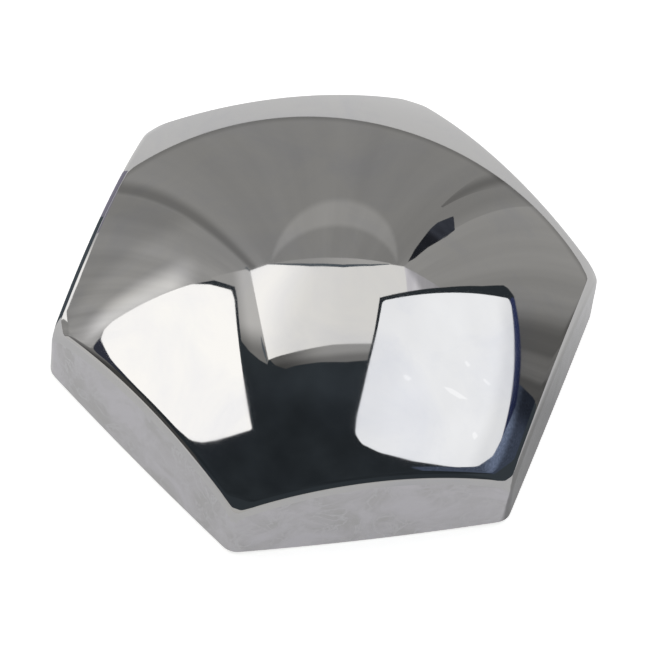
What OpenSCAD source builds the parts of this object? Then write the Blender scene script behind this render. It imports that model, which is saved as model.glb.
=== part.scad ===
// Rocker arm shaft nut: a low, closed hexagon nut with a domed crown, made as one
// piece. It screws on to the end of a motorcycle's rocker arm shaft and covers it.
// Z points up through the crown, and the origin is the centre of the bearing face.

/* [Hexagon] */
// Width across the flats, which is the wrench size
across_flats = 25.4; // [23.4:0.1:28.6]
// Radius rolled along the crown's rim, where it runs down into each flat
rim_r = 0.9; // [0.4:0.05:1.2]
// Radius of the six upright edges
edge_r = 0.5; // [0.2:0.05:0.8]
// Radius rolled over the six tips, where the crown runs down into an upright edge
tip_r = 2.4; // [1.8:0.1:3]

/* [Crown] */
// Height from the bearing face to the top of the crown
height = 9.1; // [8.6:0.1:10.4]
// Height of the six corners, before their edges are rolled
corner_h = 3.6; // [3.2:0.1:4.2]

/* [Underside] */
// Width left outside the bearing face, at the middle of each flat
bearing_inset = 0.25; // [0.1:0.05:0.6]
// Slope at which the underside rises from the bearing face to the corners
relief_angle = 7; // [4:1:20]

/* [Shaft hole] */
// Major diameter of the thread, 9/16 inch
thread_d = 14.29; // [12:0.01:15.88]
// Diameter of the countersink at the mouth
mouth_d = 15.6; // [15.1:0.1:16.8]
// Angle of the countersink's sides to the bearing face
mouth_angle = 45; // [30:5:60]
// Metal left straight above the rim of the hole's blind end
crown_wall = 1.7; // [1.2:0.1:2.4]
// Angle of the blind end, which is a shallow cone
end_angle = 8; // [3:1:12]

/* [Hidden] */
$fn = 96;
apothem = across_flats / 2;
corner_r = apothem / cos(30);
// The crown is a ball whose surface passes through its top and the six corners.
crown_r = (corner_r ^ 2 + (height - corner_h) ^ 2) / (2 * (height - corner_h));
crown_centre_z = height - crown_r;
// Each rolled edge stands this far proud before it is trimmed, so that it crosses
// the faces beside it cleanly instead of only touching them.
lap = 0.002;
// The upright edges' discs lie this far from the nut's axis.
edge_x = (apothem - edge_r + lap) / cos(30);
bearing_r = apothem - bearing_inset;
relief_rise = (corner_r - bearing_r) * tan(relief_angle);
thread_r = thread_d / 2;
mouth_r = max(mouth_d / 2, thread_r + 0.2);
mouth_depth = (mouth_r - thread_r) * tan(mouth_angle);
hole_depth = crown_centre_z + sqrt(crown_r ^ 2 - thread_r ^ 2) - crown_wall;
end_rise = thread_r * tan(end_angle);
// Cutters and blanks run past the faces that they meet by this much.
over = 1;

chrome = [0.80, 0.81, 0.82];

// Half the section of the ball, cut flat on two opposite sides and rolled there.
// Y lies along the axis of the two flats, and X is the distance from that axis.
// The roll is a ring round that axis, whose centre line lies at roll_x and roll_y
// and which leaves the ball at roll_end_y.
module rolled_section(half_width, roll_r) {
    roll_y = half_width - roll_r + lap;
    roll_x = sqrt((crown_r - roll_r + lap) ^ 2 - roll_y ^ 2);
    roll_end_y = roll_y * crown_r / (crown_r - roll_r);
    intersection() {
        circle(r = crown_r);
        translate([0, -half_width])
            square([crown_r, 2 * half_width]);
        union() {
            translate([0, -roll_end_y])
                square([crown_r, 2 * roll_end_y]);
            translate([0, -half_width])
                square([roll_x, 2 * half_width]);
            for (side = [-1, 1])
                translate([roll_x, side * roll_y])
                    circle(r = roll_r);
        }
    }
}

// The ball turned about a level axis of its own, with two opposite sides cut and
// rolled, so that each side ends in a true arc.
module rolled_ball(angle, half_width, roll_r) {
    translate([0, 0, crown_centre_z])
        rotate([90, 0, angle])
            rotate_extrude()
                rolled_section(half_width, roll_r);
}

// The hexagon with its corners rounded: each loses what lies outside a disc that
// the two sides touch. The cut starts at the chord between the touching points.
module rounded_hexagon() {
    difference() {
        circle(r = corner_r, $fn = 6);
        for (turn = [0 : 60 : 300])
            rotate(turn)
                translate([edge_x, 0])
                    difference() {
                        translate([edge_r * cos(30), -edge_r])
                            square([edge_r, 2 * edge_r]);
                        circle(r = edge_r);
                    }
    }
}

// Everything above the bearing face and the slope outside it.
module underside_blank() {
    rotate_extrude()
        polygon([
            [0, 0],
            [bearing_r, 0],
            [corner_r, relief_rise],
            [corner_r + over, relief_rise],
            [corner_r + over, height + over],
            [0, height + over]
        ]);
}

// The blind hole: countersunk mouth, wall at the thread's major diameter, conical end.
module shaft_hole() {
    rotate_extrude()
        polygon([
            [0, -over],
            [mouth_r, -over],
            [mouth_r, 0],
            [thread_r, mouth_depth],
            [thread_r, hole_depth],
            [0, hole_depth + end_rise]
        ]);
}

module cap_nut() {
    color(chrome)
        difference() {
            intersection() {
                underside_blank();
                translate([0, 0, -over])
                    linear_extrude(height + 2 * over)
                        rounded_hexagon();
                // Two opposite flats and their rims at a time
                intersection_for (angle = [0, 60, 120])
                    rolled_ball(angle, apothem, rim_r);
                // Two opposite tips at a time, each rolled towards its upright edge
                intersection_for (angle = [30, 90, 150])
                    rolled_ball(angle, corner_r, tip_r);
            }
            shaft_hole();
        }
}

cap_nut();
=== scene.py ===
"""A chromed cap nut for the end of a rocker arm shaft, on a pale floor inside a light tent.

The nut is one solid, so the scene has two pieces: the nut's body, which replaces the
CAD node with a finer mesh of the same form, and the thread cut into its blind hole.
Lengths are written in millimetres and turned to metres where a mesh is made.
"""
import logging
import math
from collections.abc import Callable, Iterable, Iterator
from contextlib import contextmanager
from dataclasses import dataclass, field
from enum import Enum

import bmesh
import bpy
from mathutils import Matrix, Vector


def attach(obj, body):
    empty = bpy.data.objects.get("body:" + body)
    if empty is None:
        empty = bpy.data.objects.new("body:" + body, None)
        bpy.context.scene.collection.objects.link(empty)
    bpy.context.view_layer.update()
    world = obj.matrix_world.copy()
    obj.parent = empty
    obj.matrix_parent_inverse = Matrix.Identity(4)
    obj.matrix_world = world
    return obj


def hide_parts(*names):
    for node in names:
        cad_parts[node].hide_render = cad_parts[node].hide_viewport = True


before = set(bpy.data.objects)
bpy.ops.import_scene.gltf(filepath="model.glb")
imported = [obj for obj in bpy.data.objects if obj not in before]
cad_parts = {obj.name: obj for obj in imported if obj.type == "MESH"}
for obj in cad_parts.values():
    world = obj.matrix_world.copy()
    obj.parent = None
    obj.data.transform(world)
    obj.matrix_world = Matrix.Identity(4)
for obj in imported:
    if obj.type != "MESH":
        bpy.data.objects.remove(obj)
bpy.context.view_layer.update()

MM = 0.001
# Half the angle that one flat takes up round the nut's axis
HALF_FLAT = math.radians(30)
LOG = logging.getLogger("cap_nut")
Point = tuple[float, float, float]
Flat = tuple[float, float]
Colour = tuple[float, float, float, float]
Socket = bpy.types.NodeSocket


# Small helpers -----------------------------------------------------------------------


def linear(colour: str) -> Colour:
    """Turns an sRGB hex colour to linear red, green and blue, with an alpha of 1."""
    parts = [int(colour[i:i + 2], 16) / 255 for i in (1, 3, 5)]
    return (*(p / 12.92 if p <= 0.04045 else ((p + 0.055) / 1.055) ** 2.4 for p in parts), 1.0)


def smoothstep(low: float, high: float, value: float) -> float:
    """Rises smoothly from 0 at low to 1 at high."""
    t = min(max((value - low) / (high - low), 0.0), 1.0)
    return t * t * (3 - 2 * t)


def clear_selection() -> None:
    """Leaves edit mode and deselects every object."""
    if bpy.context.object and bpy.context.object.mode != "OBJECT":
        bpy.ops.object.mode_set(mode="OBJECT")
    bpy.ops.object.select_all(action="DESELECT")


def select_only(piece: bpy.types.Object) -> None:
    """Selects one piece, deselects every other and makes it the active one."""
    clear_selection()
    piece.select_set(True)
    bpy.context.view_layer.objects.active = piece


def settle(piece: bpy.types.Object) -> None:
    """Puts a piece's place and scale into its mesh, so that its object sits at the origin."""
    select_only(piece)
    bpy.ops.object.transform_apply(location=True, rotation=True, scale=True)


@contextmanager
def edited(piece: bpy.types.Object) -> Iterator[bmesh.types.BMesh]:
    """Lends a piece's mesh in edit mode and writes it back afterwards.

    Args:
        piece: an object that is in edit mode.

    Yields:
        Its mesh.
    """
    mesh = bmesh.from_edit_mesh(piece.data)
    yield mesh
    bmesh.update_edit_mesh(piece.data)


def start_mesh(name: str) -> bpy.types.Object:
    """Adds an object, empties its mesh and leaves it in edit mode.

    Args:
        name: what the object is called.

    Returns:
        The new object.
    """
    clear_selection()
    bpy.ops.mesh.primitive_plane_add(size=1.0, location=(0, 0, 0))
    made = bpy.context.object
    made.name = made.data.name = name
    bpy.ops.object.mode_set(mode="EDIT")
    with edited(made) as mesh:
        mesh.clear()
    return made


class Nodes:
    """The node tree of a material or of the world, with the kinds of node that it needs."""

    def __init__(self, holder: bpy.types.Material | bpy.types.World) -> None:
        """Empties the holder's node tree."""
        holder.use_nodes = True
        self.tree = holder.node_tree
        self.tree.nodes.clear()

    def add(
        self, kind: str, inputs: dict[str | int, object] | None = None, **settings: object
    ) -> bpy.types.Node:
        """Adds a shader node.

        Args:
            kind: the node's type, such as "TexNoise".
            inputs: by an input's name or number, its constant or the socket that feeds it.
            settings: properties of the node itself.

        Returns:
            The new node.
        """
        node = self.tree.nodes.new("ShaderNode" + kind)
        for name, value in settings.items():
            setattr(node, name, value)
        for name, value in (inputs or {}).items():
            if isinstance(value, Socket):
                self.tree.links.new(value, node.inputs[name])
            else:
                node.inputs[name].default_value = value
        return node

    def place(self, chart: str = "Object") -> Socket:
        """Gives the place on the surface, in the object's frame or on its UV map."""
        return self.add("TexCoord").outputs[chart]

    def compute(self, operation: str, *terms: Socket | float) -> Socket:
        """Does one step of arithmetic."""
        return self.add("Math", dict(enumerate(terms)), operation=operation).outputs[0]

    def dot(self, place: Socket, direction: Point) -> Socket:
        """Measures a place along a direction."""
        return self.add("VectorMath", {0: place, 1: direction}, operation="DOT_PRODUCT").outputs["Value"]

    def ramp(
        self, value: Socket, low: float, high: float, start: float = 0.0, end: float = 1.0,
        kind: str = "LINEAR",
    ) -> Socket:
        """Goes from start to end, and no further, as a value goes from low to high."""
        limits = {"From Min": low, "From Max": high, "To Min": start, "To Max": end}
        return self.add("MapRange", {"Value": value, **limits}, interpolation_type=kind).outputs[0]

    def noise(
        self, size: float, detail: float, roughness: float = 0.5, distortion: float = 0.0
    ) -> Socket:
        """Builds noise on the object, with patches of about a size in millimetres."""
        look = {"Detail": detail, "Roughness": roughness, "Distortion": distortion}
        noise = self.add("TexNoise", {"Vector": self.place(), "Scale": 1 / (size * MM), **look})
        return noise.outputs["Fac"]

    def tint(self, share: Socket, first: str | Socket, second: str) -> Socket:
        """Goes from a first colour to a second, where each is a hex colour or a socket."""
        first = linear(first) if isinstance(first, str) else first
        return self.add("Mix", {0: share, 6: first, 7: linear(second)}, data_type="RGBA").outputs[2]

    def bump(self, relief: Socket, height: float, strength: float = 1.0) -> Socket:
        """Turns relief of a height in millimetres to the surface's normal."""
        limits = {"Strength": strength, "Distance": height * MM}
        return self.add("Bump", {"Height": relief, **limits}).outputs[0]

    def light(self, strength: Socket, colour: str = "#FFFFFF") -> Socket:
        """Builds a shader that gives out light."""
        return self.add("Emission", {"Color": linear(colour), "Strength": strength}).outputs[0]

    def clear(self, colour: Socket | Colour = (1.0, 1.0, 1.0, 1.0)) -> Socket:
        """Builds a shader that lets light through."""
        return self.add("BsdfTransparent", {"Color": colour}).outputs[0]

    def metal(self, colour: Socket, roughness: Socket, **more: Socket) -> None:
        """Ends the tree with a metal surface."""
        look = {"Metallic": 1.0, "Base Color": colour, "Roughness": roughness}
        self.finish(self.add("BsdfPrincipled", {**look, **more}).outputs[0])

    def finish(self, shader: Socket, kind: str = "OutputMaterial") -> None:
        """Ends the tree with a shader."""
        self.add(kind, {"Surface": shader})


# Form of the nut ---------------------------------------------------------------------


@dataclass(frozen=True)
class NutForm:
    """The nut's sizes in millimetres and degrees, and the form that follows from them."""

    across_flats: float = 25.4
    height: float = 9.1
    corner_height: float = 3.6
    rim_roll: float = 0.9
    tip_roll: float = 2.4
    corner_blend: float = 0.8
    tip_blend: float = 0.5
    bearing_inset: float = 0.25
    relief_angle: float = 7.0
    thread_diameter: float = 14.29
    mouth_diameter: float = 15.6
    mouth_angle: float = 45.0
    crown_wall: float = 1.7
    end_angle: float = 8.0
    # Between these angles from the axis, seen from the ball's centre, lies every foot.
    foot_span: Flat = (36.0, 52.0)
    foot_halvings: int = 40

    @property
    def apothem(self) -> float:
        """Distance from the nut's axis to a flat."""
        return self.across_flats / 2

    @property
    def corner_radius(self) -> float:
        """Distance from the nut's axis to a sharp corner."""
        return self.apothem / math.cos(HALF_FLAT)

    @property
    def ball_radius(self) -> float:
        """Radius of the crown, a ball through its top and the six sharp corners."""
        rise = self.height - self.corner_height
        return (self.corner_radius ** 2 + rise ** 2) / (2 * rise)

    @property
    def ball_z(self) -> float:
        """Height of the ball's centre, which lies below the bearing face."""
        return self.height - self.ball_radius

    @property
    def bearing_radius(self) -> float:
        """Radius of the round bearing face."""
        return self.apothem - self.bearing_inset

    @property
    def thread_radius(self) -> float:
        """Radius at the bottom of the thread."""
        return self.thread_diameter / 2

    @property
    def mouth_radius(self) -> float:
        """Radius of the countersink at the bearing face."""
        return self.mouth_diameter / 2

    @property
    def mouth_depth(self) -> float:
        """Depth of the countersink."""
        return (self.mouth_radius - self.thread_radius) * math.tan(math.radians(self.mouth_angle))

    @property
    def hole_depth(self) -> float:
        """Height at which the hole's wall meets its blind end."""
        over_rim = math.sqrt(self.ball_radius ** 2 - self.thread_radius ** 2)
        return self.ball_z + over_rim - self.crown_wall

    def end_height(self, radius: float) -> float:
        """Height of the hole's blind end at a distance from the axis."""
        return self.hole_depth + (self.thread_radius - radius) * math.tan(math.radians(self.end_angle))

    def relief_height(self, radius: float) -> float:
        """Height of the underside's slope at a distance from the axis."""
        return (radius - self.bearing_radius) * math.tan(math.radians(self.relief_angle))

    def roll_ring(self, half_width: float, roll: float) -> Flat:
        """Places a roll's centre line: out from its side's own level axis, and along it."""
        along = half_width - roll
        return math.sqrt((self.ball_radius - roll) ** 2 - along ** 2), along

    def roll_leans(self, half_width: float, roll: float) -> Flat:
        """Finds where a roll starts and ends, as angles from the upright at the ball's centre."""
        out, along = self.roll_ring(half_width, roll)
        return math.asin(along / (self.ball_radius - roll)), math.atan2(half_width, out)

    def roll_depth(self, towards: float, half_width: float, roll: float) -> float:
        """Finds how far a side and its roll cut below the ball.

        Args:
            towards: sine of the ray's angle towards the side, from the ball's centre.
            half_width: distance from the nut's axis to the side.
            roll: radius of the roll between the ball and the side.

        Returns:
            Depth below the ball, measured along the ray.
        """
        lean = math.asin(min(max(towards, -1.0), 1.0))
        start, end = self.roll_leans(half_width, roll)
        if lean <= start:
            return 0.0
        if lean >= end:
            return self.ball_radius - half_width / math.sin(lean)
        out, along = self.roll_ring(half_width, roll)
        reach = out * math.cos(lean) + along * math.sin(lean)
        return self.ball_radius - reach - math.sqrt(reach ** 2 - out ** 2 - along ** 2 + roll ** 2)

    @staticmethod
    def blend(first: float, second: float, reach: float) -> float:
        """Joins two cuts softly, the more so the deeper the shallower one is.

        Args:
            first: one cut's depth below the ball.
            second: the other cut's depth.
            reach: how far apart two deep cuts may be and still be blended.

        Returns:
            Depth of the joined cut, never less than the deeper one.
        """
        shallow, deep = sorted((first, second))
        if shallow <= 0:
            return deep
        near = reach * shallow / (shallow + reach)
        return deep + max(near - (deep - shallow), 0.0) ** 2 / (4 * near)

    def surface_point(self, turn: float, polar: float) -> Point:
        """Finds the outer surface along a ray from the ball's centre.

        Args:
            turn: the ray's angle round the nut's axis, in radians.
            polar: the ray's angle from the nut's axis, in radians.

        Returns:
            The surface's point on the ray, in millimetres.
        """
        beside = (turn + HALF_FLAT) % (2 * HALF_FLAT) - HALF_FLAT
        across = math.sin(polar)
        flats = (
            self.roll_depth(across * math.cos(beside - side), self.apothem, self.rim_roll)
            for side in (-HALF_FLAT, HALF_FLAT)
        )
        tip = self.roll_depth(across * math.cos(beside), self.corner_radius, self.tip_roll)
        edge = self.blend(*flats, self.corner_blend)
        far = self.ball_radius - self.blend(edge, tip, self.tip_blend)
        return (
            far * across * math.cos(turn), far * across * math.sin(turn),
            self.ball_z + far * math.cos(polar),
        )

    def foot_polar(self, turn: float) -> float:
        """Finds where a flat's foot lies, on the underside's slope.

        Args:
            turn: angle round the nut's axis, in radians.

        Returns:
            The polar angle, from the ball's centre, of the outline's lowest point.
        """
        low, high = (math.radians(angle) for angle in self.foot_span)
        for _ in range(self.foot_halvings):
            middle = (low + high) / 2
            x, y, z = self.surface_point(turn, middle)
            if z > self.relief_height(math.hypot(x, y)):
                low = middle
            else:
                high = middle
        return low


# Finishes ----------------------------------------------------------------------------


@dataclass(frozen=True)
class Finish:
    """What all finishes share: a name, and how the material is made."""

    name: str

    def make(self) -> bpy.types.Material:
        """Builds the material.

        Returns:
            The new material.
        """
        material = bpy.data.materials.new(self.name)
        self.shade(Nodes(material))
        return material

    def shade(self, nodes: Nodes) -> None:
        """Fills the material's node tree, which each kind of finish does in its own way."""
        raise NotImplementedError


@dataclass(frozen=True)
class PolishedChrome(Finish):
    """Bright decorative chrome over polished nickel: a mirror with a faint film on it.

    The plating follows a buffed surface, which leaves waves a few millimetres long and
    too low to see except in the edges of what it reflects.
    """

    name: str = "polished_chrome"
    colour: str = "#C6C5C5"
    film_colour: str = "#BEBEC2"
    roughness: float = 0.02
    film_roughness: float = 0.055
    film_size: float = 5.0
    film_limits: Flat = (0.45, 0.75)
    wave_length: float = 3.2
    wave_height: float = 0.0008

    def shade(self, nodes: Nodes) -> None:
        """Builds the film's patches and the waves."""
        film = nodes.noise(self.film_size, detail=5.0, roughness=0.6, distortion=0.6)
        patch = nodes.ramp(film, *self.film_limits)
        nodes.metal(
            nodes.tint(patch, self.colour, self.film_colour),
            nodes.ramp(patch, 0.0, 1.0, self.roughness, self.film_roughness),
            Normal=nodes.bump(nodes.noise(self.wave_length, detail=1.0), self.wave_height),
        )


@dataclass(frozen=True)
class StreakedChrome(Finish):
    """The same chrome on the flats, which spanners and hands touch.

    It carries a thin uneven film, with fine crinkled lighter streaks across it.
    """

    name: str = "streaked_chrome"
    colour: str = "#C9C7CC"
    film_colour: str = "#BBBABB"
    streak_colour: str = "#D1D0D5"
    roughness: float = 0.15
    streak_roughness: float = 0.28
    film_size: float = 3.0
    film_limits: Flat = (0.38, 0.62)
    streak_size: float = 2.4
    streak_width: float = 0.035
    streak_strength: float = 0.6
    wave_length: float = 2.6
    wave_height: float = 0.003

    def shade(self, nodes: Nodes) -> None:
        """Builds the film, its streaks and the waves below them."""
        film = nodes.noise(self.film_size, detail=4.0, roughness=0.6, distortion=0.8)
        patch = nodes.ramp(film, *self.film_limits)
        crinkle = nodes.noise(self.streak_size, detail=5.0, roughness=0.55, distortion=1.8)
        # A streak lies where the noise passes its middle value.
        away = nodes.compute("ABSOLUTE", nodes.compute("SUBTRACT", crinkle, 0.5))
        streak = nodes.ramp(away, 0.0, self.streak_width, self.streak_strength, 0.0)
        kept = nodes.compute("MULTIPLY", streak, patch)
        clean = nodes.tint(patch, self.colour, self.film_colour)
        waves = nodes.noise(self.wave_length, detail=2.0, distortion=0.8)
        nodes.metal(
            nodes.tint(kept, clean, self.streak_colour),
            nodes.ramp(kept, 0.0, 1.0, self.roughness, self.streak_roughness),
            Normal=nodes.bump(waves, self.wave_height),
        )


@dataclass(frozen=True)
class TurnedSteel(Finish):
    """Steel faced in a lathe and thinly plated: fine rings round the nut's axis."""

    name: str = "turned_steel"
    colour: str = "#B3B1AC"
    dull_colour: str = "#8E8B86"
    roughness: float = 0.26
    dull_roughness: float = 0.40
    stain_size: float = 3.0
    stain_limits: Flat = (0.3, 0.7)
    ring_pitch: float = 0.16
    ring_height: float = 0.006
    ring_strength: float = 0.6

    def shade(self, nodes: Nodes) -> None:
        """Builds the rings and the stains across them."""
        rings = nodes.add("TexWave", {
            # The rings texture repeats every 2*pi/20 units of the scaled distance.
            "Vector": nodes.place(), "Scale": math.pi / 10 / (self.ring_pitch * MM),
            "Distortion": 0.6, "Detail": 2.0, "Detail Scale": 0.4,
        }, wave_type="RINGS", rings_direction="Z").outputs["Fac"]
        stain = nodes.noise(self.stain_size, detail=5.0, roughness=0.6)
        nodes.metal(
            nodes.tint(stain, self.colour, self.dull_colour),
            nodes.ramp(stain, *self.stain_limits, self.roughness, self.dull_roughness),
            Normal=nodes.bump(rings, self.ring_height, self.ring_strength),
        )


@dataclass(frozen=True)
class TappedSteel(Finish):
    """Bare steel left by the tap inside the hole, darkened by a film of oil."""

    name: str = "tapped_steel"
    colour: str = "#8C8780"
    oil_colour: str = "#5E574E"
    roughness: float = 0.34
    oil_roughness: float = 0.50
    patch_size: float = 1.6
    patch_limits: Flat = (0.3, 0.7)

    def shade(self, nodes: Nodes) -> None:
        """Builds the patches of oil."""
        oil = nodes.noise(self.patch_size, detail=5.0, roughness=0.6)
        rough = nodes.ramp(oil, *self.patch_limits, self.roughness, self.oil_roughness)
        nodes.metal(nodes.tint(oil, self.colour, self.oil_colour), rough)


class Slot(Enum):
    """Material slots of the nut's body, in order."""

    CROWN = 0
    FLATS = 1
    FACE = 2
    BORE = 3


# The nut's body ----------------------------------------------------------------------


@dataclass
class NutBody:
    """The nut's outside, underside and blind hole, as one closed mesh."""

    form: NutForm = field(default_factory=NutForm)
    columns_per_flat: int = 72
    crown_rings: int = 60
    rim_rings: int = 18
    flat_rings: int = 18
    # Rings of the ball between the feet and its middle, which are dropped with its lower half
    spare_rings: int = 10
    # Each ring on the slope goes this share of the way that is left to the bearing face.
    slope_shares: Flat = (0.5, 0.8)
    face_lip: float = 0.06
    face_radii: tuple[float, ...] = (12.0, 11.0, 10.0, 9.0, 8.3)
    wall_rings: int = 6
    end_radii: tuple[float, ...] = (6.0, 4.5, 3.0, 1.5, 0.5)
    edge_break: float = 0.08
    hole_corner: float = 0.35
    crease_angle: float = 28.0
    inset_share: float = 1e-6
    # Faces that rise more than this are polished, and those that look down this much are turned.
    crown_tilt: float = 0.06
    face_tilt: float = -0.5
    # An edge is a foot where it turns by more than this, and rings are matched this closely.
    sharp_angle: float = 60.0
    ring_match: float = 1e-3
    margin: float = 0.02
    piece: bpy.types.Object | None = None

    @property
    def columns(self) -> int:
        """Number of mesh columns round the nut."""
        return 6 * self.columns_per_flat

    def turn_of(self, column: int) -> float:
        """Finds a column's angle round the axis; columns crowd towards the corners.

        Args:
            column: the column's number, from the corner on the +X side.

        Returns:
            Angle in radians.
        """
        side, step = divmod(column % self.columns, self.columns_per_flat)
        u = 2 * step / self.columns_per_flat - 1
        return HALF_FLAT * (2 * side + 1 + 1.5 * u - 0.5 * u ** 3)

    def polar_of(self, ring: int, turn: float, foot: float) -> float:
        """Finds a ring's polar angle in one column.

        Args:
            ring: the ring's number, from the crown's top.
            turn: the column's angle round the axis.
            foot: polar angle of the flat's foot in this column.

        Returns:
            Angle from the axis, seen from the ball's centre, in radians.
        """
        form = self.form
        beside = (turn % (2 * HALF_FLAT)) - HALF_FLAT
        leave, reach = form.roll_leans(form.apothem, form.rim_roll)
        leave_at_tip, _ = form.roll_leans(form.corner_radius, form.tip_roll)
        start = min(
            math.asin(math.sin(leave) / math.cos(beside)),
            math.asin(math.sin(leave_at_tip) / math.cos(HALF_FLAT - abs(beside))),
        )
        end = math.asin(math.sin(reach) / math.cos(beside))
        if ring <= self.crown_rings:
            return start * ring / self.crown_rings
        ring -= self.crown_rings
        if ring <= self.rim_rings:
            return start + (end - start) * ring / self.rim_rings
        ring -= self.rim_rings
        return end + (foot - end) * ring / self.flat_rings

    def shape_outside(self) -> None:
        """Starts from a ball, drops its lower part and slides the rest on to the nut's form."""
        rings = self.crown_rings + self.rim_rings + self.flat_rings
        ring_count = 2 * (rings + self.spare_rings)
        radius = self.form.ball_radius * MM
        centre = Vector((0, 0, self.form.ball_z * MM))
        clear_selection()
        bpy.ops.mesh.primitive_uv_sphere_add(
            segments=self.columns, ring_count=ring_count, radius=radius, location=centre
        )
        self.piece = bpy.context.object
        self.piece.name = self.piece.data.name = "nut_body"
        settle(self.piece)
        bpy.ops.object.mode_set(mode="EDIT")
        bpy.ops.mesh.select_all(action="DESELECT")
        feet = {}
        with edited(self.piece) as mesh:
            for vertex in mesh.verts:
                ray = vertex.co - centre
                ring = round(math.acos(max(-1.0, min(1.0, ray.z / radius))) / math.pi * ring_count)
                if ring > rings:
                    vertex.select = True
                    continue
                column = round(math.atan2(ray.y, ray.x) / (2 * math.pi) * self.columns) % self.columns
                turn = self.turn_of(column)
                if column not in feet:
                    feet[column] = self.form.foot_polar(turn)
                polar = self.polar_of(ring, turn, feet[column])
                vertex.co = Vector(self.form.surface_point(turn, polar)) * MM
            mesh.select_flush(True)
        bpy.ops.mesh.delete(type="VERT")

    def select_edges(self, mode: str, test: Callable[[bmesh.types.BMEdge], bool]) -> None:
        """Selects only the edges that pass a test.

        Args:
            mode: what edit mode selects by, "VERT" or "EDGE".
            test: whether an edge is wanted.
        """
        bpy.ops.mesh.select_all(action="DESELECT")
        bpy.ops.mesh.select_mode(type=mode)
        with edited(self.piece) as mesh:
            for edge in mesh.edges:
                if test(edge):
                    edge.select = True
            mesh.select_flush_mode()

    def extrude_rim(self, place: Callable[[float, float], Flat]) -> None:
        """Extrudes the selected rim and slides the new ring into place.

        Args:
            place: from a vertex's present radius and height, its new radius and height,
                all in millimetres.
        """
        bpy.ops.mesh.extrude_region_move()
        with edited(self.piece) as mesh:
            for vertex in mesh.verts:
                if vertex.select:
                    radius = math.hypot(vertex.co.x, vertex.co.y)
                    new_radius, new_height = place(radius / MM, vertex.co.z / MM)
                    vertex.co.x *= new_radius * MM / radius
                    vertex.co.y *= new_radius * MM / radius
                    vertex.co.z = new_height * MM

    def shape_underside(self) -> None:
        """Carries the open rim over the slope, the bearing face and down the blind hole."""
        form = self.form
        bearing, mouth, wall = form.bearing_radius, form.mouth_radius, form.thread_radius
        self.select_edges("VERT", lambda edge: edge.is_boundary)
        for share in self.slope_shares:
            self.extrude_rim(
                lambda r, z, s=share: (r + (bearing - r) * s, form.relief_height(r + (bearing - r) * s))
            )
        steps = [(r, 0.0) for r in (bearing, bearing - self.face_lip, *self.face_radii, mouth)]
        steps.append(((mouth + wall) / 2, form.mouth_depth / 2))
        depth = form.hole_depth - form.mouth_depth
        steps += [
            (wall, form.mouth_depth + depth * i / self.wall_rings) for i in range(self.wall_rings + 1)
        ]
        steps += [(r, form.end_height(r)) for r in self.end_radii]
        for step in steps:
            self.extrude_rim(lambda r, z, to=step: to)
        bpy.ops.mesh.extrude_region_move()
        bpy.ops.mesh.merge(type="CENTER")
        bpy.ops.mesh.select_all(action="SELECT")
        bpy.ops.mesh.normals_make_consistent(inside=False)

    def is_foot(self, edge: bmesh.types.BMEdge) -> bool:
        """Tells whether an edge runs along a flat's foot, where alone the outside is sharp."""
        outer = self.form.apothem - self.margin
        return edge.calc_face_angle(0.0) > math.radians(self.sharp_angle) and all(
            math.hypot(v.co.x, v.co.y) / MM > outer for v in edge.verts
        )

    def is_on_ring(self, edge: bmesh.types.BMEdge, radius: float, height: float) -> bool:
        """Tells whether an edge lies on one round ring of the underside."""
        return all(
            math.dist((math.hypot(v.co.x, v.co.y) / MM, v.co.z / MM), (radius, height)) < self.ring_match
            for v in edge.verts
        )

    def break_edges(self) -> None:
        """Takes the sharpness off the feet, the mouth and the hole's inner corner."""
        form = self.form
        for test, width, segments in (
            (self.is_foot, self.edge_break, 3),
            (lambda edge: self.is_on_ring(edge, form.mouth_radius, 0.0), self.edge_break, 2),
            (lambda edge: self.is_on_ring(edge, form.thread_radius, form.hole_depth), self.hole_corner, 5),
        ):
            self.select_edges("EDGE", test)
            bpy.ops.mesh.bevel(offset=width * MM, segments=segments, affect="EDGES")

    def draw_in(self) -> None:
        """Shrinks the mesh by a hair, so that rounding leaves it inside the CAD model's box."""
        self.piece.scale = (1 - self.inset_share,) * 3
        settle(self.piece)

    def slot_of(self, face: bpy.types.MeshPolygon) -> Slot:
        """Chooses a face's material slot from its place and the way it faces.

        Args:
            face: a face of the finished mesh.

        Returns:
            The slot.
        """
        rise, height = face.normal.z, face.center.z / MM
        across = math.hypot(face.center.x, face.center.y) / MM
        under_crown = self.margin < height < self.form.end_height(0.0) + self.margin
        if under_crown and across < self.form.mouth_radius - self.margin:
            return Slot.BORE
        if rise > self.crown_tilt:
            return Slot.CROWN
        return Slot.FACE if rise < self.face_tilt else Slot.FLATS

    def dress(self, finishes: Iterable[Finish]) -> None:
        """Gives the body its materials and its smooth shading.

        Args:
            finishes: one finish for each slot, in order.
        """
        select_only(self.piece)
        mesh = self.piece.data
        mesh.materials.clear()
        for finish in finishes:
            mesh.materials.append(finish.make())
        for face in mesh.polygons:
            face.material_index = self.slot_of(face).value
        bpy.ops.object.shade_smooth_by_angle(angle=math.radians(self.crease_angle))

    def build(self) -> bpy.types.Object:
        """Builds and dresses the body, which stands for the CAD node.

        Returns:
            The finished piece.
        """
        self.shape_outside()
        self.shape_underside()
        self.break_edges()
        self.draw_in()
        self.dress((PolishedChrome(), StreakedChrome(), TurnedSteel(), TappedSteel()))
        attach(self.piece, "root")
        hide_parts("cap_nut")
        return self.piece


# The thread --------------------------------------------------------------------------


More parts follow.
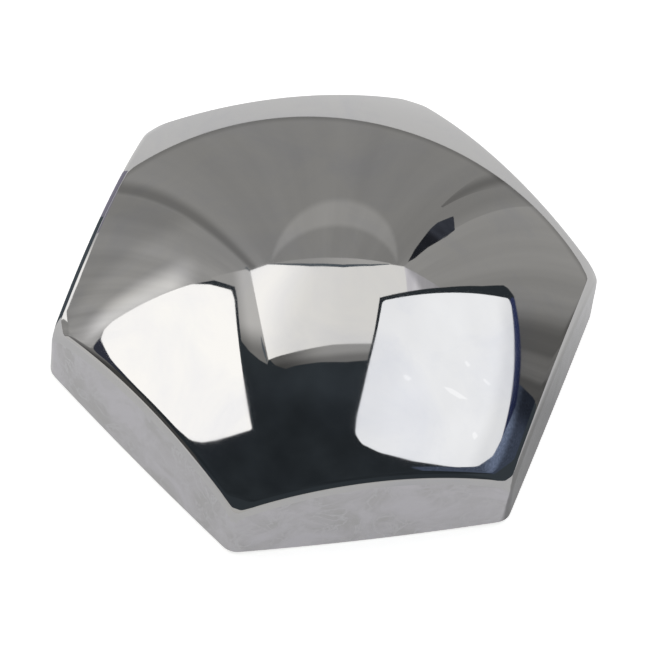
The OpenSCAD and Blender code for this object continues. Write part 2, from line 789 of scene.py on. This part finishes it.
@dataclass
class ShaftThread:
    """The right-hand thread's ridge, wound round the wall of the hole, 18 turns to the inch."""

    form: NutForm = field(default_factory=NutForm)
    pitch: float = 25.4 / 18
    steps_per_turn: int = 72
    root_share: float = 0.125
    crest_share: float = 0.25
    depth_share: float = 0.5413
    embed: float = 0.03
    # At its ends the ridge sinks this far into the wall.
    sink: float = 0.01
    fade_turns: float = 0.22
    mouth_gap: float = 0.02
    end_gap: float = 0.3
    crease_angle: float = 25.0
    piece: bpy.types.Object | None = None

    @property
    def half_foot(self) -> float:
        """Half the height that the ridge takes up on the wall."""
        return self.pitch * (1 - self.root_share) / 2

    def section(self) -> list[Flat]:
        """Draws the ridge's section.

        Returns:
            The corners in order: radius, and height from the ridge's middle.
        """
        wall, foot = self.form.thread_radius, self.half_foot
        crest, half_crest = wall - self.pitch * self.depth_share, self.pitch * self.crest_share / 2
        return [
            (wall + self.embed, -foot), (wall, -foot), (crest, -half_crest),
            (crest, half_crest), (wall, foot), (wall + self.embed, foot),
        ]

    def outline(self, section: list[Flat]) -> None:
        """Makes the section's closed outline, which is then the selected end of the ridge.

        Args:
            section: the corners.
        """
        self.piece = start_mesh("shaft_thread")
        bpy.ops.mesh.select_mode(type="VERT")
        with edited(self.piece) as mesh:
            first = [mesh.verts.new((r * MM, 0, z * MM)) for r, z in section]
            for vertex in first:
                vertex.select = True
            ring = [mesh.edges.new((first[i], first[(i + 1) % len(first)])) for i in range(len(first))]
            for edge in ring:
                edge.select = True

    def wind(self, section: list[Flat]) -> None:
        """Carries the section up the hole and fades both of its ends out.

        Args:
            section: the corners.
        """
        wall = self.form.thread_radius + self.sink
        low = self.form.mouth_depth + self.half_foot + self.mouth_gap
        rise = self.form.hole_depth - self.half_foot - self.end_gap - low
        steps = round(rise / self.pitch * self.steps_per_turn)
        fade = self.fade_turns * self.steps_per_turn
        for step in range(steps + 1):
            if step:
                bpy.ops.mesh.extrude_region_move()
            turn = 2 * math.pi * step / self.steps_per_turn
            full = smoothstep(0, fade, step) * smoothstep(0, fade, steps - step)
            middle = low + rise * step / steps
            with edited(self.piece) as mesh:
                for vertex, (r, z) in zip([v for v in mesh.verts if v.select], section):
                    across = wall - (wall - r) * full if r < self.form.thread_radius else r
                    vertex.co = Vector((
                        across * math.cos(turn), across * math.sin(turn), middle + z,
                    )) * MM

    def build(self) -> bpy.types.Object:
        """Winds the ridge and gives it its finish.

        Returns:
            The finished piece.
        """
        section = self.section()
        self.outline(section)
        self.wind(section)
        bpy.ops.mesh.select_all(action="SELECT")
        bpy.ops.mesh.fill_holes(sides=len(section))
        bpy.ops.mesh.normals_make_consistent(inside=False)
        bpy.ops.object.mode_set(mode="OBJECT")
        self.piece.data.materials.append(TappedSteel(name="tapped_steel_ridge").make())
        bpy.ops.object.shade_smooth_by_angle(angle=math.radians(self.crease_angle))
        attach(self.piece, "root")
        return self.piece


# Studio ------------------------------------------------------------------------------


@dataclass(frozen=True)
class Viewpoint:
    """Where the camera stands. Angles are in degrees and lengths in millimetres."""

    azimuth: float = -107.05
    elevation: float = 53.59
    roll: float = 7.60
    distance: float = 352.9
    pixels_per_mm: float = 18.954
    image_size: int = 650
    origin_x: float = 321.9
    origin_y: float = 343.5
    sensor: float = 36.0
    # What the camera sees lies between these distances, in metres.
    clip: Flat = (0.01, 10.0)

    @property
    def back(self) -> Vector:
        """Direction from the nut to the camera."""
        turn, rise = math.radians(self.azimuth), math.radians(self.elevation)
        return Vector((math.cos(rise) * math.cos(turn), math.cos(rise) * math.sin(turn), math.sin(rise)))

    @property
    def eye(self) -> Vector:
        """The camera's place in metres."""
        return self.back * self.distance * MM

    def build(self) -> bpy.types.Object:
        """Makes the scene's camera.

        Returns:
            The camera.
        """
        data = bpy.data.cameras.new("camera")
        camera = bpy.data.objects.new("camera", data)
        bpy.context.scene.collection.objects.link(camera)
        data.sensor_width = self.sensor
        data.lens = self.pixels_per_mm * self.distance / self.image_size * self.sensor
        half = self.image_size / 2
        data.shift_x = (half - self.origin_x) / self.image_size
        data.shift_y = (self.origin_y - half) / self.image_size
        data.clip_start, data.clip_end = self.clip
        data.dof.use_dof = False
        facing = self.back.to_track_quat("Z", "Y").to_matrix().to_4x4()
        lean = Matrix.Rotation(math.radians(self.roll), 4, "Z")
        camera.matrix_world = Matrix.Translation(self.eye) @ facing @ lean
        bpy.context.scene.camera = camera
        return camera


@dataclass(frozen=True)
class Fade:
    """A smooth change of a panel's brightness between two places of its UV map."""

    start: Flat
    end: Flat
    share: float

    def ramp(self, nodes: Nodes) -> Socket:
        """Builds the nodes of the fade.

        Args:
            nodes: the panel's node tree.

        Returns:
            A value that goes from 1 at the start to the share at the end.
        """
        start = Vector((*self.start, 0.0))
        step = Vector((*self.end, 0.0)) - start
        along = nodes.dot(nodes.place("UV"), step)
        low = step.dot(start)
        return nodes.ramp(along, low, low + step.length_squared, 1.0, self.share, "SMOOTHSTEP")


@dataclass(frozen=True)
class Cloth(Finish):
    """A lit cloth or diffuser, with soft folds and smooth changes across it.

    Its level is a multiple of a white surface's brightness. Its folds are measured,
    like its UV map, in units of the tent's height.
    """

    colour: str
    level: float
    fades: tuple[Fade, ...] = ()
    fold_depth: float = 0.0
    fold_width: float = 0.06
    fold_stretch: float = 0.05
    fold_detail: float = 3.0
    fold_limits: Flat = (0.3, 0.7)

    def strength(self, nodes: Nodes) -> Socket:
        """Builds the level, its folds and its fades.

        Args:
            nodes: the panel's node tree.

        Returns:
            The brightness as one value.
        """
        hang = nodes.add("Mapping", {
            "Vector": nodes.place("UV"),
            "Scale": (1 / self.fold_width, self.fold_stretch / self.fold_width, 1.0),
        }).outputs[0]
        look = {"Scale": 1.0, "Detail": self.fold_detail, "Roughness": 0.5}
        folds = nodes.add("TexNoise", {"Vector": hang, **look}).outputs["Fac"]
        low, high = self.level * (1 - self.fold_depth), self.level * (1 + self.fold_depth)
        value = nodes.ramp(folds, *self.fold_limits, low, high)
        for fade in self.fades:
            value = nodes.compute("MULTIPLY", value, fade.ramp(nodes))
        return value

    def surface(self, nodes: Nodes) -> Socket:
        """Builds the shader, which gives out light and hides what is behind it."""
        return nodes.light(self.strength(nodes), self.colour)

    def shade(self, nodes: Nodes) -> None:
        """Puts the shader on the panel."""
        nodes.finish(self.surface(nodes))


@dataclass(frozen=True)
class SwaggedCloth(Cloth):
    """A hanging cloth with a lighter swag, which lies between two sagging arcs."""

    swag_middle: float = 0.42
    outer_arc: Flat = (0.48, 5.5)
    inner_arc: Flat = (0.67, 3.4)
    softness: float = 0.03
    swag_lift: float = 0.22

    def over_arc(self, nodes: Nodes, arc: Flat, low: float, high: float) -> Socket:
        """Builds a value that changes where the cloth crosses an arc.

        Args:
            nodes: the cloth's node tree.
            arc: height of the arc's lowest point, and how steeply it curves up.
            low: the value below the arc.
            high: the value above it.

        Returns:
            The value.
        """
        parts = nodes.add("SeparateXYZ", {0: nodes.place("UV")}).outputs
        side = nodes.compute("SUBTRACT", parts[0], self.swag_middle)
        square = nodes.compute("MULTIPLY", side, side)
        above = nodes.compute("SUBTRACT", parts[1], nodes.compute("MULTIPLY_ADD", square, arc[1], arc[0]))
        return nodes.ramp(above, -self.softness, self.softness, low, high, "SMOOTHSTEP")

    def strength(self, nodes: Nodes) -> Socket:
        """Builds the hanging cloth's brightness and lifts it between the two arcs.

        Args:
            nodes: the cloth's node tree.

        Returns:
            The brightness as one value.
        """
        value = super().strength(nodes)
        lift = 1 + self.swag_lift
        for arc, high in ((self.outer_arc, lift), (self.inner_arc, 1 / lift)):
            value = nodes.compute("MULTIPLY", value, self.over_arc(nodes, arc, 1.0, high))
        return value


@dataclass(frozen=True)
class Halo(Cloth):
    """Stray light on a cloth: it adds to what is behind it."""

    def surface(self, nodes: Nodes) -> Socket:
        """Builds the shader."""
        return nodes.add("AddShader", {0: super().surface(nodes), 1: nodes.clear()}).outputs[0]


@dataclass(frozen=True)
class Shade(Cloth):
    """Shadow on a cloth: it dims what is behind it to the share that its level gives."""

    def surface(self, nodes: Nodes) -> Socket:
        """Builds the shader."""
        return nodes.clear(self.strength(nodes))


@dataclass
class LightTent:
    """The photographic tent round the nut: cloths, diffusers, dark frames and painted shade.

    A panel overhead is drawn as the crown mirrors it. Each corner is a direction, given
    by its runs to the camera's right and away from the camera for one unit of rise.
    Walls are drawn in plan, in units of the tent's height.
    """

    view: Viewpoint
    form: NutForm = field(default_factory=NutForm)
    height: float = 1600.0
    wall_top: float = 1.3
    white: str = "#FFFEFA"
    grey: str = "#F6F5F1"
    cool: str = "#FBFDFF"
    dark: str = "#DCF0FF"
    navy: str = "#8A9CEE"
    lilac: str = "#ECE8FF"
    mirror_steps: int = 6
    corner_segments: int = 6
    strip_taper: float = 0.8
    # Direction of the left flat in degrees, and the height of the sheets laid before it
    left_flat: float = 150.0
    sheet_height: float = 0.1

    @property
    def turn(self) -> float:
        """Angle from the part's X axis to the camera's right, in radians."""
        return math.radians(self.view.azimuth + 90)

    def outwards(self, right: float, away: float, up: float) -> Vector:
        """Turns a place in units of the tent's height to metres in the part's frame."""
        place = Vector((right, away, up)) * self.height * MM
        place.rotate(Matrix.Rotation(self.turn, 3, "Z"))
        return place

    def inwards(self, place: Vector) -> Vector:
        """Turns a place in metres in the part's frame to units of the tent's height."""
        back = place / (self.height * MM)
        back.rotate(Matrix.Rotation(-self.turn, 3, "Z"))
        return back

    def sighted(self, right: float, away: float, height: float) -> Vector:
        """Finds the place overhead that the crown mirrors from a direction.

        Args:
            right: the direction's run to the right for one unit of rise.
            away: its run away from the camera for one unit of rise.
            height: the place's height, in units of the tent's height.

        Returns:
            The place in metres, on the ray that leaves the crown's mirroring point.
        """
        towards = self.outwards(right, away, 1.0).normalized()
        centre = Vector((0, 0, self.form.ball_z * MM))
        point = centre
        for _ in range(self.mirror_steps):
            normal = ((self.view.eye - point).normalized() + towards).normalized()
            point = centre + normal * self.form.ball_radius * MM
        return point + towards * (height * self.height * MM - point.z) / towards.z

    def panel(
        self, name: str, corners: list[Vector], finish: Cloth, chart: Callable[[Vector], Flat],
        rounding: float = 0.0,
    ) -> bpy.types.Object:
        """Makes one flat panel that only reflections see.

        Args:
            name: the panel's name.
            corners: its corners in order, in metres.
            finish: its finish.
            chart: from a place in units of the tent's height to the UV map.
            rounding: radius of its corners, in units of the tent's height.

        Returns:
            The panel.
        """
        cloth = start_mesh(name)
        with edited(cloth) as mesh:
            mesh.faces.new([mesh.verts.new(corner) for corner in corners])
        bpy.ops.mesh.select_all(action="SELECT")
        if rounding:
            bpy.ops.mesh.bevel(
                offset=rounding * self.height * MM, segments=self.corner_segments, affect="VERTICES"
            )
        bpy.ops.object.mode_set(mode="OBJECT")
        layer = cloth.data.uv_layers.new(name="place")
        for loop in cloth.data.loops:
            corner = cloth.data.vertices[loop.vertex_index].co
            layer.data[loop.index].uv = chart(self.inwards(corner))
        cloth.data.materials.clear()
        cloth.data.materials.append(finish.make())
        cloth.visible_camera = False
        return cloth

    def overhead(
        self, height: float, finish: Cloth, corners: Iterable[Flat], rounding: float = 0.0
    ) -> None:
        """Makes a level panel overhead from its corners as the crown mirrors them.

        Args:
            height: its height, in units of the tent's height.
            finish: its finish, whose name it takes.
            corners: directions, as runs right and away for one unit of rise.
            rounding: radius of its corners, in units of the tent's height.
        """
        places = [self.sighted(x, y, height) for x, y in corners]
        self.panel(finish.name, places, finish, lambda p: (p.x / height, p.y / height), rounding)

    def hung(
        self, start: Flat, end: Flat, finish: Cloth, corners: Iterable[Flat], gap: float = 0.0
    ) -> None:
        """Hangs an upright panel in the plane of a wall.

        Args:
            start: where the wall starts in plan.
            end: where the wall ends in plan.
            finish: the panel's finish, whose name it takes.
            corners: distances along the wall and up from the floor.
            gap: how far before the wall the panel hangs.
        """
        origin = Vector(start)
        along = (Vector(end) - origin).normalized()
        inner = Vector((along.y, -along.x))
        if inner.dot(origin) > 0:
            inner.negate()
        places = []
        for run, up in corners:
            place = origin + along * run + inner * gap
            places.append(self.outwards(place.x, place.y, up))
        self.panel(finish.name, places, finish, lambda p: ((Vector((p.x, p.y)) - origin).dot(along), p.z))

    def wall(self, start: Flat, end: Flat, finish: Cloth) -> None:
        """Hangs an upright cloth that reaches from the floor to over the ceiling."""
        length = (Vector(end) - Vector(start)).length
        self.hung(start, end, finish, [(0, 0), (length, 0), (length, self.wall_top), (0, self.wall_top)])

    def strip(self, height: float, finish: Cloth, path: Iterable[Flat], width: float) -> None:
        """Makes a narrow level panel along a path, which tapers to its ends.

        Args:
            height: its height over the nut, in units of the tent's height.
            finish: its finish, whose name it takes.
            path: the path's places, as for a panel overhead.
            width: its width at the middle.
        """
        places = [Vector(place) for place in path]
        left, right = [], []
        for i, place in enumerate(places):
            run = (places[min(i + 1, len(places) - 1)] - places[max(i - 1, 0)]).normalized()
            share = 1 - abs(2 * i / (len(places) - 1) - 1) * self.strip_taper
            side = Vector((-run.y, run.x)) * width * share / 2
            left.append(tuple(place + side))
            right.append(tuple(place - side))
        self.overhead(height, finish, left + right[::-1])

    def hang_walls(self) -> None:
        """Hangs the pale cloths beyond the nut and the dim room behind the camera."""
        left, right = (-0.40, 0.52), (0.35, 0.68)
        far_left, far_right = (-2.1, 0.40), (2.0, 0.40)
        # Painted shade along each wall's foot, where it meets the floor.
        foot = Fade((0, 0.035), (0, 0.0), 0.72)
        self.wall(left, right, SwaggedCloth(
            "back_cloth", self.grey, 0.40,
            (
                Fade((0.12, 0), (0.055, 0), 1.10), Fade((0.055, 0), (0.022, 0), 0.62),
                Fade((0.015, 0), (0.0, 0), 1.45), Fade((0.35, 0), (0.72, 0), 0.90),
                Fade((0.72, 0), (0.765, 0), 1.15), foot,
            ), fold_depth=0.05, fold_width=0.07, swag_lift=0.30,
        ))
        self.wall(left, far_left, Cloth(
            "left_cloth", self.grey, 0.52,
            (Fade((0.20, 0.0), (0.0, 0.0), 0.90), Fade((0.0, 0.50), (0.0, 0.34), 0.82), foot),
            fold_depth=0.13, fold_width=0.12,
        ))
        self.wall(right, far_right, Cloth(
            "right_cloth", self.grey, 0.50,
            (
                Fade((0.0, 0), (0.3, 0), 0.84), Fade((0.34, 0), (0.62, 0), 0.38),
                Fade((0.74, 0), (0.84, 0), 1.38), Fade((1.12, 0), (1.25, 0), 0.60), foot,
            ), fold_depth=0.11, fold_width=0.12,
        ))
        self.hung(left, far_left, Cloth("left_skirt", self.lilac, 0.36), [
            (-0.012, 0.0), (0.16, 0.0), (0.15, 0.14), (0.07, 0.112), (0.02, 0.075), (-0.012, 0.05),
        ], gap=0.004)
        self.hung(left, far_left, Cloth("left_glow", self.white, 1.50, (
            Fade((0.32, 0.0), (0.14, 0.0), 0.50),
        )), [
            (0.14, 0.02), (0.14, 0.155), (0.26, 0.213), (0.41, 0.273), (0.64, 0.335), (0.86, 0.37),
            (0.86, 0.02),
        ], gap=0.006)
        self.hung(left, right, Shade("crease", self.white, 1.0, (
            Fade((0.642, 0.0), (0.667, 0.0), 0.64), Fade((0.669, 0.0), (0.694, 0.0), 1.56),
        )), [(0.642, 0.0), (0.694, 0.0), (0.671, 0.36), (0.665, 0.36)], gap=0.006)
        side, behind = 2.0, -1.6
        self.wall(far_left, (-side, behind), Cloth("room_left", self.grey, 0.30, (
            Fade((0.0, 0.0), (0.6, 0.0), 0.30),
        )))
        self.wall((-side, behind), (side, behind), Cloth("room_behind", self.dark, 0.06))
        self.wall((side, behind), far_right, Cloth("room_right", self.dark, 0.08))
        self.hung(far_left, (-side, behind), Cloth("left_foot", self.grey, 0.85), [
            (0.1, 0.0), (2.0, 0.0), (2.0, 0.40), (0.1, 0.40),
        ], gap=0.01)
        self.hung((-side, behind), (side, behind), Cloth("behind_foot", self.grey, 0.72), [
            (0.0, 0.0), (4.0, 0.0), (4.0, 0.05), (0.0, 0.44),
        ], gap=0.01)
        self.overhead(self.wall_top + 0.02, Cloth("room_above", self.dark, 0.058, (
            Fade((0, -0.12), (0, -0.28), 0.72),
        ), fold_depth=0.22, fold_width=0.25, fold_stretch=1.0), [(-2, -2), (2, -2), (2, 2), (-2, 2)])

    def hang_ceiling(self) -> None:
        """Hangs the ceiling's diffuser, with the seams and the strips of cloth round it."""
        sag = [(-0.30, 0.542), (-0.20, 0.535), (-0.10, 0.535), (0.05, 0.556), (0.18, 0.606), (0.27, 0.655)]
        self.overhead(1.0, Cloth("ceiling", self.white, 1.58, (
            Fade((-0.33, 0.2), (-0.08, 0.16), 0.76), Fade((-0.08, 0.2), (0.12, 0.2), 0.94),
        )), [
            (-0.385, 0.505), *sag, (0.35, 0.68), (0.36, 0.60), (0.37, 0.50), (0.34, 0.30),
            (0.24, 0.135), (0.05, 0.085), (-0.05, 0.05), (-0.20, -0.005), (-0.235, -0.022),
        ])
        self.overhead(1.004, Cloth("crescent", self.grey, 0.50, (Fade((-0.2, 0.5), (0.2, 0.5), 1.32),)), [
            *sag, (0.30, 0.685), (0.20, 0.67), (0.05, 0.645), (-0.10, 0.61), (-0.22, 0.575),
        ])
        self.strip(0.99, Cloth("sag_seam", self.dark, 0.16), sag, width=0.024)
        self.strip(0.98, Cloth("left_seam", self.dark, 0.16), [
            (-0.282, 0.10), (-0.272, 0.06), (-0.262, 0.03), (-0.252, 0.0), (-0.238, -0.04),
        ], width=0.010)
        self.strip(0.98, Cloth("corner_seam", self.dark, 0.16), [
            (-0.385, 0.50), (-0.41, 0.53), (-0.44, 0.57), (-0.475, 0.61), (-0.52, 0.66),
        ], width=0.014)
        self.overhead(1.01, Cloth("left_gusset", self.grey, 0.86, (
            Fade((-0.345, 0.20), (-0.415, 0.183), 0.66), Fade((-0.31, 0.17), (-0.35, 0.03), 0.35),
        )), [
            (-0.41, 0.53), (-0.38, 0.50), (-0.30, 0.22), (-0.235, -0.02), (-0.238, -0.045),
            (-0.275, -0.025), (-0.33, 0.02), (-0.375, 0.075), (-0.42, 0.16), (-0.46, 0.30),
            (-0.50, 0.42), (-0.60, 0.50), (-0.50, 0.62),
        ])
        self.overhead(1.01, Cloth("front_gusset", self.grey, 0.52, (
            Fade((0.05, 0.0), (-0.18, -0.05), 0.35), Fade((0.05, 0.05), (0.062, 0.01), 0.55),
        )), [
            (-0.235, -0.015), (-0.10, 0.04), (0.10, 0.10), (0.26, 0.15), (0.26, 0.055),
            (0.12, 0.01), (0.0, -0.012), (-0.10, -0.04), (-0.15, -0.062), (-0.20, -0.048),
        ])
        self.overhead(1.01, Cloth("right_gusset", "#F4F2F6", 0.98, (
            Fade((0.38, 0.60), (0.43, 0.63), 0.62), Fade((0.47, 0.0), (0.62, 0.0), 0.64),
        ), fold_depth=0.12, fold_width=0.05), [
            (0.35, 0.685), (0.355, 0.60), (0.37, 0.50), (0.42, 0.46), (0.66, 0.70), (0.58, 0.76),
            (0.48, 0.76), (0.40, 0.72),
        ])

    def place_lamps(self) -> None:
        """Places the two soft boxes, their dark frames and the light that strays round them."""
        self.overhead(0.50, Cloth("left_softbox", self.white, 1.69), [
            (-1.63, 0.475), (-1.5, 0.5), (-0.72, 0.495), (-0.6, 0.455), (-0.465, 0.385),
            (-0.44, 0.32), (-0.3, -0.39), (-0.43, -0.44), (-0.52, -0.47), (-0.61, -0.49),
            (-0.72, -0.48), (-0.81, -0.43), (-0.93, -0.34), (-1.08, -0.2), (-1.24, -0.06),
            (-1.41, 0.1), (-1.57, 0.28), (-1.67, 0.4),
        ], rounding=0.006)
        self.overhead(0.51, Cloth("left_shadow", "#D2DCFF", 0.075), [
            (-1.84, 0.345), (-1.82, 0.38), (-1.73, 0.415), (-1.60, 0.42), (-1.30, 0.25),
            (-1.0, 0.0), (-1.1, -0.2), (-1.5, 0.05), (-1.75, 0.25),
        ], rounding=0.01)
        self.overhead(0.51, Cloth("left_frame", self.dark, 0.06), [
            (-0.74, 0.495), (-0.58, 0.480), (-0.45, 0.405), (-0.425, 0.32), (-0.285, -0.40),
            (-0.45, -0.35), (-0.60, 0.20),
        ])
        self.overhead(0.50, Cloth("right_softbox", self.cool, 1.48, (
            Fade((1.0, 0.0), (1.2, 0.0), 0.87), Fade((0.55, 0.0), (0.25, 0.0), 0.95),
        ), fold_depth=0.025, fold_width=0.3, fold_stretch=1.0), [
            (0.25, 0.385), (1.19, 1.03), (1.215, 0.99), (1.235, 0.60), (1.275, 0.20), (1.30, -0.10),
            (1.27, -0.24), (1.15, -0.35), (0.95, -0.405), (0.60, -0.43), (0.38, -0.42),
            (0.27, -0.39), (0.225, -0.34), (0.215, -0.25), (0.225, 0.0), (0.24, 0.20),
        ], rounding=0.010)
        self.overhead(0.52, Cloth("right_frame", self.dark, 0.05), [
            (0.235, 0.40), (0.60, 0.67), (0.90, 0.91), (1.15, 1.14), (1.21, 1.16), (1.28, 1.13),
            (1.20, 0.60), (0.50, -0.20), (0.203, -0.25), (0.213, 0.0), (0.228, 0.20),
        ])
        self.overhead(0.51, Cloth("right_rim", self.navy, 0.17, (Fade((1.25, 0), (1.36, 0), 0.45),)), [
            (1.20, 1.02), (1.25, 1.10), (1.28, 1.10), (1.31, 0.80), (1.34, 0.50), (1.36, 0.20),
            (1.28, -0.16), (1.20, -0.05),
        ])
        self.overhead(0.55, Cloth("right_haze", "#C4D8FF", 0.40, (
            Fade((1.33, 0.0), (1.46, 0.0), 0.32), Fade((0.0, -0.02), (0.0, 0.22), 0.34),
            Fade((1.36, -0.3), (1.22, -0.44), 0.42),
        ), fold_depth=0.30, fold_width=0.022, fold_stretch=1.0), [
            (1.25, 0.36), (1.80, 0.38), (1.9, -0.1), (1.7, -0.6), (1.0, -0.60), (0.60, -0.47),
            (0.95, -0.40), (1.20, -0.20),
        ])
        self.overhead(0.49, Halo("left_stray", self.grey, 0.62, (
            Fade((0, 0.53), (0, 0.80), 0.0), Fade((-0.90, 0.5), (-0.66, 0.56), 0.0),
            Fade((-1.6, 0.0), (-2.2, 0.0), 0.30), Fade((-1.8, 0.53), (-1.8, 0.42), 0.30),
        )), [
            (-2.6, 0.30), (-1.85, 0.385), (-1.73, 0.42), (-1.63, 0.478), (-1.50, 0.503),
            (-0.72, 0.49), (-0.50, 0.42), (-0.50, 0.82), (-2.6, 0.82),
        ])
        for number, (right, away, length, thick) in enumerate((
            (0.75, 0.03, 0.20, 0.035), (0.43, 0.01, 0.05, 0.03), (1.0, -0.16, 0.06, 0.05),
            (0.98, 0.20, 0.09, 0.025), (0.79, 0.235, 0.05, 0.03),
        )):
            self.overhead(0.48, Halo(f"glint_{number}", self.white, 0.17), [
                (right - length / 2, away + thick * 0.2), (right - length * 0.2, away + thick / 2),
                (right + length * 0.2, away + thick * 0.3), (right + length / 2, away + thick * 0.1),
                (right + length * 0.15, away - thick / 2), (right - length * 0.25, away - thick * 0.3),
            ])

    def hang_corner_shade(self) -> None:
        """Paints the shade in the corner where the back cloth and the right cloth meet, as a dark panel.
        """
        self.overhead(0.30, Cloth("right_corner_shade", "#DCE6FF", 0.075, (
            Fade((0.55, 1.22), (0.50, 1.12), 0.40),
        ), fold_depth=0.2, fold_width=0.15, fold_stretch=1.0), [
            (0.37, 0.73), (0.41, 0.87), (0.48, 1.07), (0.54, 1.24), (0.61, 1.41), (0.79, 1.75),
            (0.79, 1.72), (0.75, 1.45), (0.66, 1.26), (0.58, 1.11), (0.50, 0.97), (0.41, 0.79),
        ])

    def lay_floor_sheets(self) -> None:
        """Lays two sheets on the floor beyond the nut's left, which only its rim mirrors: a painted shadow
        of the nut, and a dim lilac sheet beside it.

        Their corners are distances out from the left flat and along it.
        """
        turn = math.radians(self.left_flat)
        for name, colour, level, corners in (
            # A dark sheet that paints the nut's shadow on the floor.
            ("painted_shadow_sheet", self.dark, 0.12, (
                (1.6, -3.4), (4, -4.2), (8.6, -6.7), (18, -12.7), (50, -34), (400, -200),
                (500, -120), (287, -60), (60, -6), (22, 0.5), (8.2, 3.4), (3.4, 4.4), (1.7, 4.6),
            )),
            ("lilac_card", self.lilac, 0.34, (
                (1.6, -6.8), (3.2, -7.5), (6.1, -9.8), (10.2, -13.4), (15.9, -19), (29.7, -33),
                (62.8, -67), (90, -60), (50, -34), (18, -12.7), (8.6, -6.7), (4, -4.2), (1.6, -3.4),
            )),
        ):
            places = [
                Vector((
                    (self.form.apothem + out) * math.cos(turn) - run * math.sin(turn),
                    (self.form.apothem + out) * math.sin(turn) + run * math.cos(turn),
                    self.sheet_height,
                )) * MM
                for out, run in corners
            ]
            card = self.panel(name, places, Cloth(name, colour, level), lambda p: (p.x, p.y))
            card.visible_diffuse = card.visible_shadow = False

    def build(self) -> None:
        """Sets up the whole tent."""
        self.hang_walls()
        self.hang_ceiling()
        self.place_lamps()
        self.hang_corner_shade()
        self.lay_floor_sheets()


@dataclass(frozen=True)
class PaleFloor(Finish):
    """A pale matt floor. The camera sees it as white, and metal sees it with painted shade.

    A strip of it is given by a direction's angle round the nut's axis and two distances
    along that direction, in millimetres, between which a value rises from 0 to 1.
    """

    name: str = "pale_floor"
    colour: str = "#EDEDEB"
    camera_lift: float = 0.75
    mirror_share: float = 0.7
    near_level: float = 0.77
    far_level: float = 0.90
    reach: float = 15.0
    right_share: float = 0.36
    beside_right_flat: Point = (-30.0, 12.3, 12.65)
    along_right_flat: Point = (60.0, 0.5, 12.5)
    past_front_corner: Point = (60.0, -7.7, -7.2)

    def across(self, nodes: Nodes, strip: Point) -> Socket:
        """Builds the value that rises across a strip.

        Args:
            nodes: the floor's node tree.
            strip: the direction's angle in degrees, and the two distances.

        Returns:
            The value.
        """
        turn, low, high = strip
        direction = (math.cos(math.radians(turn)), math.sin(math.radians(turn)), 0.0)
        return nodes.ramp(nodes.dot(nodes.place(), direction), low * MM, high * MM)

    def mirrored_level(self, nodes: Nodes) -> Socket:
        """Builds the brightness that metal sees.

        It is less before the right flat, the more so towards the camera, but not before the front flat.
        This is painted shade, for the nut's shadow on the floor beside it.

        Args:
            nodes: the floor's node tree.

        Returns:
            The brightness as one value.
        """
        # Painted shade: the floor that metal sees is darker on the camera's side and before the right
        # flat.
        away = nodes.add("SeparateXYZ", {0: nodes.place()}).outputs[1]
        depth = nodes.ramp(away, -self.reach * MM, self.reach * MM, self.near_level, self.far_level)
        beside = self.across(nodes, self.beside_right_flat)
        before = nodes.compute("MULTIPLY", beside, self.across(nodes, self.past_front_corner))
        dimmed = nodes.ramp(self.across(nodes, self.along_right_flat), 0.0, 1.0, self.right_share, 1.0)
        side = nodes.add("Mix", {0: before, 2: 1.0, 3: dimmed}, data_type="FLOAT").outputs[0]
        return nodes.compute("MULTIPLY", depth, side)

    def shade(self, nodes: Nodes) -> None:
        """Mixes what diffuse light, metal and the camera see, and clears the floor's back.

        Args:
            nodes: the floor's node tree.
        """
        rays = nodes.add("LightPath").outputs
        mirrored = nodes.compute("MAXIMUM", rays["Is Glossy Ray"], rays["Is Transmission Ray"])
        share = nodes.compute("MULTIPLY", mirrored, self.mirror_share)
        body = nodes.add("BsdfDiffuse", {"Color": linear(self.colour)}).outputs[0]
        # Metal sees painted light and shade here, not the floor's own lighting alone.
        painted_floor_light = nodes.light(self.mirrored_level(nodes))
        lit = nodes.add("MixShader", {0: share, 1: body, 2: painted_floor_light}).outputs[0]
        lift = nodes.light(nodes.compute("MULTIPLY", rays["Is Camera Ray"], self.camera_lift))
        both = nodes.add("AddShader", {0: lit, 1: lift}).outputs[0]
        behind = nodes.add("NewGeometry").outputs["Backfacing"]
        nodes.finish(nodes.add("MixShader", {0: behind, 1: both, 2: nodes.clear()}).outputs[0])


@dataclass(frozen=True)
class Floor:
    """The floor under the nut. Its size is in metres."""

    size: float = 8.0

    def build(self) -> None:
        """Lays the floor."""
        clear_selection()
        bpy.ops.mesh.primitive_plane_add(size=self.size, location=(0, 0, 0))
        floor = bpy.context.object
        floor.name = floor.data.name = "floor"
        floor.data.materials.append(PaleFloor().make())


@dataclass(frozen=True)
class Surroundings:
    """The plain white outside the tent, seen by the camera and by metal from below."""

    colour: str = "#FFFFFF"
    strength: float = 1.0

    def build(self) -> None:
        """Makes the world."""
        world = bpy.data.worlds.new("plain_white")
        bpy.context.scene.world = world
        nodes = Nodes(world)
        sky = nodes.add("Background", {"Color": linear(self.colour), "Strength": self.strength})
        nodes.finish(sky.outputs[0], "OutputWorld")
        bpy.context.scene.view_settings.view_transform = "Standard"


def report(piece: bpy.types.Object) -> None:
    """Logs a piece's name and how many faces it has."""
    LOG.info("%s: %d faces", piece.name, len(piece.data.polygons))


def main() -> None:
    """Builds the camera, the nut, its thread and the studio, in that order."""
    logging.basicConfig(level=logging.INFO, format="%(name)s %(message)s")
    view = Viewpoint()
    view.build()
    report(NutBody().build())
    report(ShaftThread().build())
    Surroundings().build()
    Floor().build()
    LightTent(view).build()


if __name__ == "__main__":
    main()
